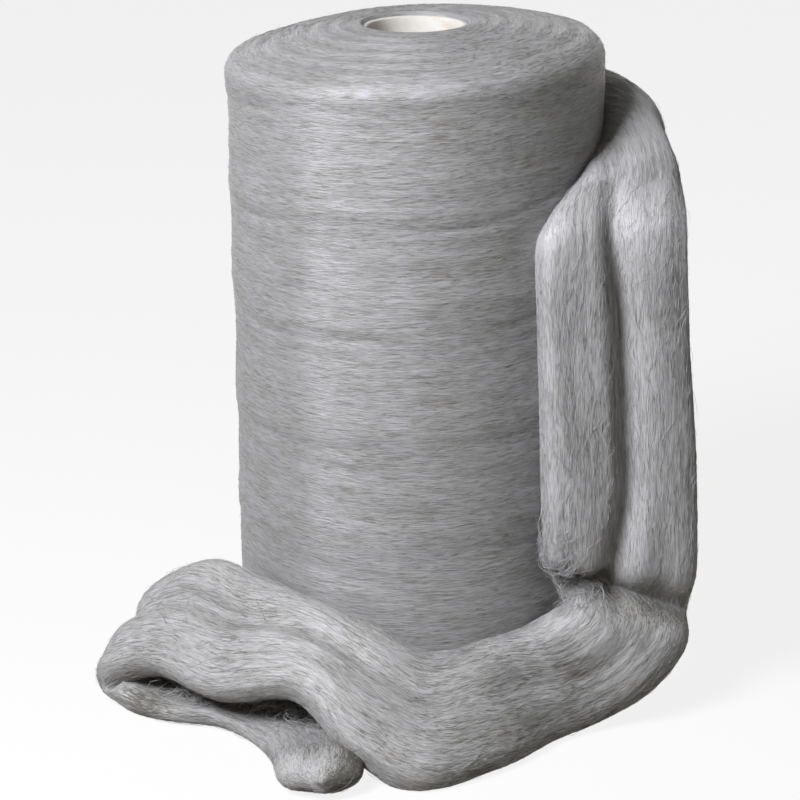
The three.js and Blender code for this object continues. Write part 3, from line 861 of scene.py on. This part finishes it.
def fibre_material(name, dark, mid, bright):
    """Single fibres: each has its own shade, darkened by painted shade, with slow patches over the piece."""
    material, nodes, shader = new_material(name)
    tone = nodes.add("ShaderNodeAttribute", attribute_name="tone")
    place = nodes.add("ShaderNodeTexCoord")
    patches = nodes.grain(place.outputs["Object"], FIBRE_PATCHES)
    mixed = nodes.weighted((tone.outputs["Fac"], FIBRE_OWN_SHARE), (patches, FIBRE_PATCH_SHARE))
    colour = nodes.shades(mixed, FIBRE_STOPS, (PAINTED_SHADE_COLOUR, dark, mid, bright))
    nodes.join(colour, shader.inputs["Base Color"])
    nodes.join(nodes.spread(mixed, 0.0, 1.0, *FIBRE_ROUGHNESS), shader.inputs["Roughness"])
    shader.inputs["Metallic"].default_value = FIBRE_METALLIC
    shader.inputs["Specular IOR Level"].default_value = FIBRE_SPECULAR
    return material


def card_material():
    """Pale lined board: fine paper fibre, faint stains and a darker line along the spiral seam."""
    material, nodes, shader = new_material("lined_card")
    place = nodes.add("ShaderNodeTexCoord")
    seam = nodes.add("ShaderNodeAttribute", attribute_name="seam")
    fibre = nodes.grain(place.outputs["Object"], CARD_FIBRE)
    stains = nodes.grain(place.outputs["Object"], CARD_STAINS)
    mixed = nodes.weighted((fibre, CARD_FIBRE_SHARE), (stains, CARD_STAIN_SHARE),
                           (seam.outputs["Fac"], -CARD_SEAM_SHARE))
    nodes.join(nodes.shades(mixed, CARD_STOPS, CARD_SHADES), shader.inputs["Base Color"])
    nodes.join(nodes.spread(fibre, 0.0, 1.0, *CARD_ROUGHNESS), shader.inputs["Roughness"])
    bump = nodes.add("ShaderNodeBump")
    bump.inputs["Strength"].default_value = CARD_BUMP_STRENGTH
    bump.inputs["Distance"].default_value = CARD_BUMP
    nodes.join(fibre, bump.inputs["Height"])
    nodes.join(bump.outputs["Normal"], shader.inputs["Normal"])
    return material


# Stage, light and camera
def shown_as_background(nodes):
    """1 for the rays that see a background: from the camera, in gloss and through glass."""
    path = nodes.add("ShaderNodeLightPath")
    seen = nodes.maths("MAXIMUM", path.outputs["Is Camera Ray"], path.outputs["Is Glossy Ray"])
    return nodes.maths("MAXIMUM", seen, path.outputs["Is Transmission Ray"])


def white_world():
    """A white surround where it is seen, and a plain soft light elsewhere."""
    world = bpy.data.worlds.new("studio")
    world.use_nodes = True
    nodes = Nodes(world.node_tree)
    background = world.node_tree.nodes["Background"]
    seen = shown_as_background(nodes)
    nodes.join(nodes.shades(seen, (0.0, 1.0), (AMBIENT_LIGHT, WHITE)), background.inputs["Color"])
    bpy.context.scene.world = world


def pale_floor():
    """A wide plain floor, white where it is lit, that keeps the object's soft shadow."""
    half = FLOOR_SIZE / 2
    mesh = bpy.data.meshes.new("floor")
    corners = [(-half, -half), (half, -half), (half, half), (-half, half)]
    mesh.from_pydata([(x, y, -FLOOR_CLEARANCE) for x, y in corners], [], [(0, 1, 2, 3)])
    material, nodes, shader = new_material("pale_floor")
    seen = shown_as_background(nodes)
    nodes.join(nodes.shades(seen, (0.0, 1.0), (FLOOR_BOUNCE, FLOOR_PALE)), shader.inputs["Base Color"])
    shader.inputs["Roughness"].default_value = FLOOR_ROUGHNESS
    shader.inputs["Specular IOR Level"].default_value = 0.0
    glow = nodes.add("ShaderNodeEmission")
    mix = nodes.add("ShaderNodeMixShader")
    nodes.join(nodes.maths("MULTIPLY", seen, FLOOR_GLOW), mix.inputs["Fac"])
    nodes.join(shader.outputs["BSDF"], mix.inputs[1])
    nodes.join(glow.outputs["Emission"], mix.inputs[2])
    nodes.join(mix.outputs["Shader"], material.node_tree.nodes["Material Output"].inputs["Surface"])
    mesh.materials.append(material)
    floor = bpy.data.objects.new("floor", mesh)
    bpy.context.scene.collection.objects.link(floor)


def placed(side, up, back, place):
    """A matrix whose X, Y and Z axes are side, up and back, at place."""
    table = np.eye(4)
    table[:3, 0], table[:3, 1], table[:3, 2], table[:3, 3] = side, up, back, place
    return Matrix(table.tolist())


def soft_lamp(name, place, aim, size, watts, tint):
    """A square soft box at place, turned towards aim."""
    data = bpy.data.lights.new(name, "AREA")
    data.size = size
    data.energy = watts
    data.color = tint
    lamp = bpy.data.objects.new(name, data)
    away = unit(np.array(place) - np.array(aim))
    side = unit(np.cross([0.0, 0.0, 1.0], away))
    lamp.matrix_world = placed(side, np.cross(away, side), away, place)
    bpy.context.scene.collection.objects.link(lamp)


def photo_camera():
    """The camera where the photograph was taken from: level distance and height from the roll's foot,
    tilt down, a slight turn to set the roll right of the middle, and a slight roll."""
    tilt, turn, lean = math.radians(CAMERA_TILT), math.radians(CAMERA_TURN), math.radians(CAMERA_LEAN)
    right = np.array([math.cos(turn), math.sin(turn), 0.0])
    level = np.array([-math.sin(turn), math.cos(turn), 0.0])
    ahead = level * math.cos(tilt) - np.array([0, 0, math.sin(tilt)])
    over = level * math.sin(tilt) + np.array([0, 0, math.cos(tilt)])
    side = right * math.cos(lean) - over * math.sin(lean)
    up = right * math.sin(lean) + over * math.cos(lean)
    data = bpy.data.cameras.new("camera")
    data.sensor_width = SENSOR_WIDTH
    data.lens = CAMERA_LENS
    camera = bpy.data.objects.new("camera", data)
    camera.matrix_world = placed(side, up, -ahead, AXIS + [0, -CAMERA_DISTANCE, CAMERA_HEIGHT])
    bpy.context.scene.collection.objects.link(camera)
    bpy.context.scene.camera = camera


def build_roll(group):
    """The wound roll, with fibres round its side and on its upper end."""
    wool = wool_material("wound_steel_wool", group, *WOUND_SHADES, WOUND_METALLIC, WOUND_SHEEN_TURN)
    fibre = fibre_material("wound_fibre", *WOUND_FIBRE_SHADES)
    roll, lay = roll_surface()
    rows = len(roll)
    piece = mesh_piece("wound_roll", roll.reshape(-1, 3), grid_corners(rows, ROLL_COLUMNS, True), wool,
                       "steel_wool", grid_map(rows, ROLL_COLUMNS, True), lay=lay.reshape(-1, 3))
    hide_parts("wool_roll")

    level = np.arange(rows)[:, None] + np.zeros((1, ROLL_COLUMNS))
    first_side = BASE_ROWS + BARE_ROWS
    first_end = BASE_ROWS + ARC_ROWS + SIDE_ROWS + ARC_ROWS // 2
    on_side = (level >= first_side) & (level < first_end)
    on_end = (level >= first_end) & (level < rows - BARE_ROWS)
    undimmed = np.zeros_like(level)
    lay_strands("side_fibres", roll, True, 1, on_side, undimmed, fibre, SIDE_LAY)
    lay_strands("end_fibres", roll, True, 1, on_end, undimmed, fibre, END_LAY)


def build_ribbon(group):
    """The loose ribbon, with fibres along it, curls all over it, and tangles in its tuck and its fold."""
    wool = wool_material("loose_steel_wool", group, *LOOSE_SHADES, LOOSE_METALLIC, LOOSE_SHEEN_TURN)
    fibre = fibre_material("loose_fibre", *LOOSE_SHADES)
    ribbon, ribbon_lay, ribbon_dim, row = ribbon_surface()
    places, corners, square, lay, dim = capped(
        ribbon, grid_corners(RIBBON_RINGS, RIBBON_SIDES, False), grid_map(RIBBON_RINGS, RIBBON_SIDES, False),
        ribbon_lay, ribbon_dim)
    piece = mesh_piece("loose_ribbon", places, corners, wool, "steel_wool", square, lay=lay, dim=dim)
    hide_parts("wool_roll")

    ring = np.arange(RIBBON_RINGS)[:, None] + np.zeros((1, RIBBON_SIDES))
    falling = ring < RIBBON_RINGS / 2
    everywhere = np.ones_like(ring)
    undimmed = np.zeros_like(ring)
    inward = -np.cos(2 * math.pi * np.arange(RIBBON_SIDES) / RIBBON_SIDES)
    tucked = bell(row - TANGLE_ROW, TANGLE_ROWS) * smooth_step(inward, *TANGLE_EDGE)
    upward = smooth_step(grid_normals(ribbon, False)[..., 2], *MOUTH_UPWARD)
    inside = upward * smooth_step(inward, *MOUTH_INSIDE)
    mouth = bell(row - MOUTH_ROW, MOUTH_ROWS) * smooth_step(row, *MOUTH_STARTS)
    # Painted shade: the ribbon's fibres take the shade painted on it, and the tangles take none
    lay_strands("fall_fibres", ribbon, False, 0, falling, ribbon_dim, fibre, RIBBON_LAY)
    lay_strands("run_fibres", ribbon, False, 0, ~falling, ribbon_dim, fibre, RIBBON_LAY)
    lay_strands("ribbon_curls", ribbon, False, 0, everywhere, ribbon_dim, fibre, CURL_LAY)
    lay_strands("tuck_tangle", ribbon, False, 0, tucked, undimmed, fibre, TUCK_LAY)
    lay_strands("mouth_tangle", ribbon, False, 0, mouth * inside, undimmed, fibre, MOUTH_LAY)


def build_core():
    """The card core, in place of its plain solid."""
    places, seam = core_surface()
    rows, columns = places.shape[:2]
    piece = mesh_piece("card_tube", places.reshape(-1, 3), grid_corners(rows, columns, True), card_material(),
                       "card", grid_map(rows, columns, True), seam=seam.ravel())
    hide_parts("card_core")


laid_wool = streak_group()
build_roll(laid_wool)
build_ribbon(laid_wool)
build_core()
white_world()
pale_floor()
soft_lamp("key", KEY_PLACE, KEY_AIM, KEY_SIZE, KEY_WATTS, KEY_TINT)
photo_camera()
bpy.context.scene.view_settings.view_transform = "Standard"
